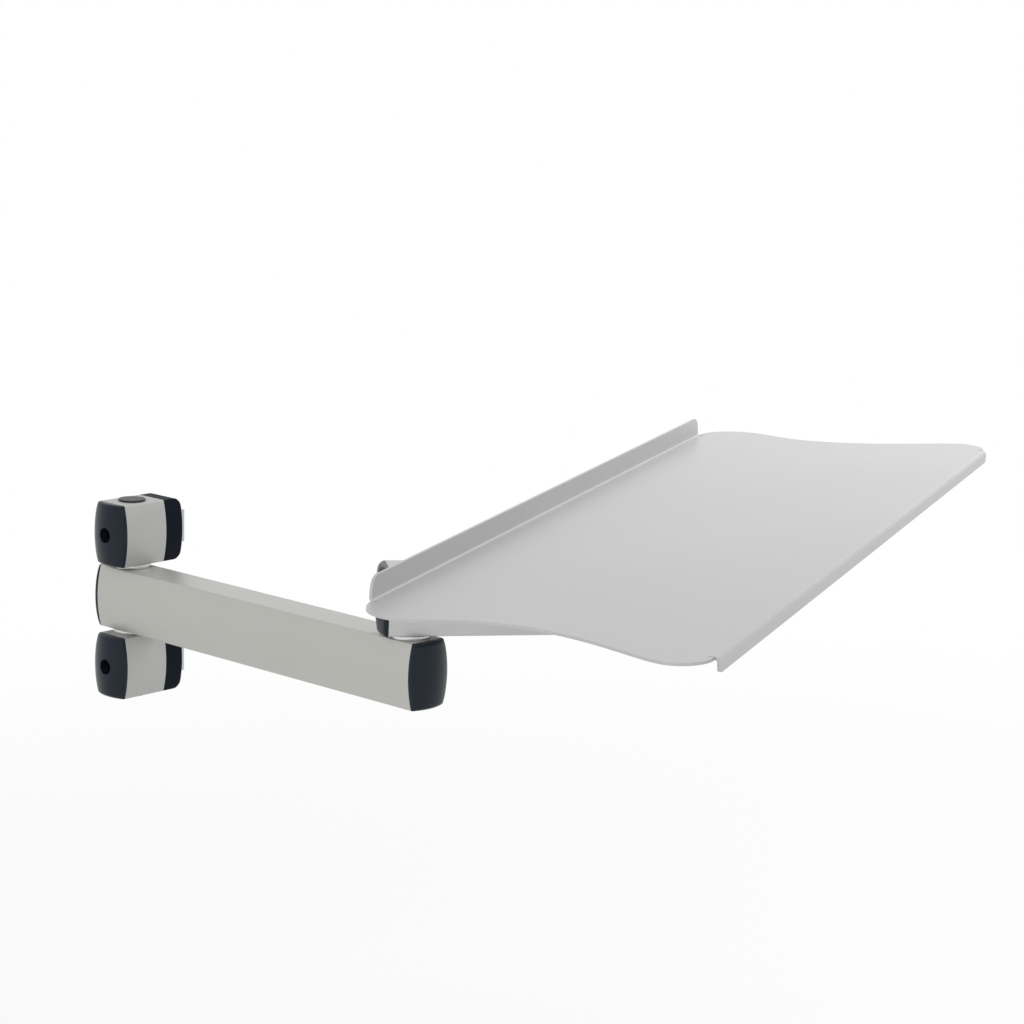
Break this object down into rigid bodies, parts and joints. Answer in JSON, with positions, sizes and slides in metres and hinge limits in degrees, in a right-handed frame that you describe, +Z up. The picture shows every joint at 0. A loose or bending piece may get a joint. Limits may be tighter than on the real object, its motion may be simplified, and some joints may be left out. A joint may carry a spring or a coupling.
{
  "type": "keyboard tray",
  "caption": "Swing-arm keyboard tray: a clamp for a slotted upright, jointed hollow arms with domed end caps, and a waisted sheet-metal tray with a low rear lip that swivels on top.",
  "frame": {"origin": "on the upright's face that the clamp seats on, on the centre line of its slot, midway between the two clamp screws", "axes": "+Z up along the upright, -Y straight out from the upright's face, +X along the first arm as stored"},
  "size_m": [0.5728, 0.6352, 0.1573],
  "materials": {
    "anodised": "satin anodised extrusion",
    "black_plastic": "satin moulded plastic",
    "plug_plastic": "satin moulded plastic",
    "polished_discs": "bright nickel-plated friction discs",
    "zinc_steel": "zinc plated",
    "black_steel": "black oxide",
    "bright_steel": "turned steel",
    "core_metal": "sawn, unfinished",
    "bush_plastic": "natural acetal",
    "bracket_paint": "black powder coat",
    "silver_paint": "fine silver coat, satin"
  },
  "bodies": {
    "clamp": {"upper_block": "anodised", "lower_block": "anodised", "upper_front_cap": "black_plastic", "lower_front_cap": "black_plastic", "upper_spacer": "black_plastic", "lower_spacer": "black_plastic", "clamp_screws": "black_steel", "slot_nuts": "zinc_steel", "pivot_pin": "bright_steel", "clamp_discs": "polished_discs", "clamp_plugs": "plug_plastic"},
    "arm": {"arm_tube": "anodised", "arm_inner_cap": "black_plastic", "arm_outer_cap": "black_plastic", "arm_cores": "core_metal", "arm_bush": "bush_plastic", "arm_plug": "plug_plastic", "elbow_disc": "polished_discs", "elbow_bolt": "bright_steel", "elbow_nut": "bright_steel"},
    "link": {"link_tube": "anodised", "link_inner_cap": "black_plastic", "link_outer_cap": "black_plastic", "link_cores": "core_metal", "link_bush": "bush_plastic", "link_plugs": "plug_plastic", "tray_disc": "polished_discs", "tray_bolt": "bright_steel", "tray_nut": "bright_steel"},
    "tray": {"tray_bracket": "bracket_paint", "bracket_bush": "bush_plastic", "bracket_nuts": "zinc_steel", "tray_sheet": "silver_paint"}
  },
  "joints": [
    {"name": "arm_swing", "type": "hinge", "parent": "clamp", "child": "arm", "pos_m": [0, -0.0285, 0], "axis": [0, 0, 1], "range_deg": [-205, 25]},
    {"name": "elbow_swing", "type": "hinge", "parent": "arm", "child": "link", "pos_m": [0.242, -0.0285, 0], "axis": [0, 0, 1], "range_deg": [-190, 88]},
    {"name": "tray_swivel", "type": "hinge", "parent": "link", "child": "tray", "pos_m": [0.34971, 0.10739, 0], "axis": [0, 0, 1], "range_deg": [-150, 150]}
  ]
}
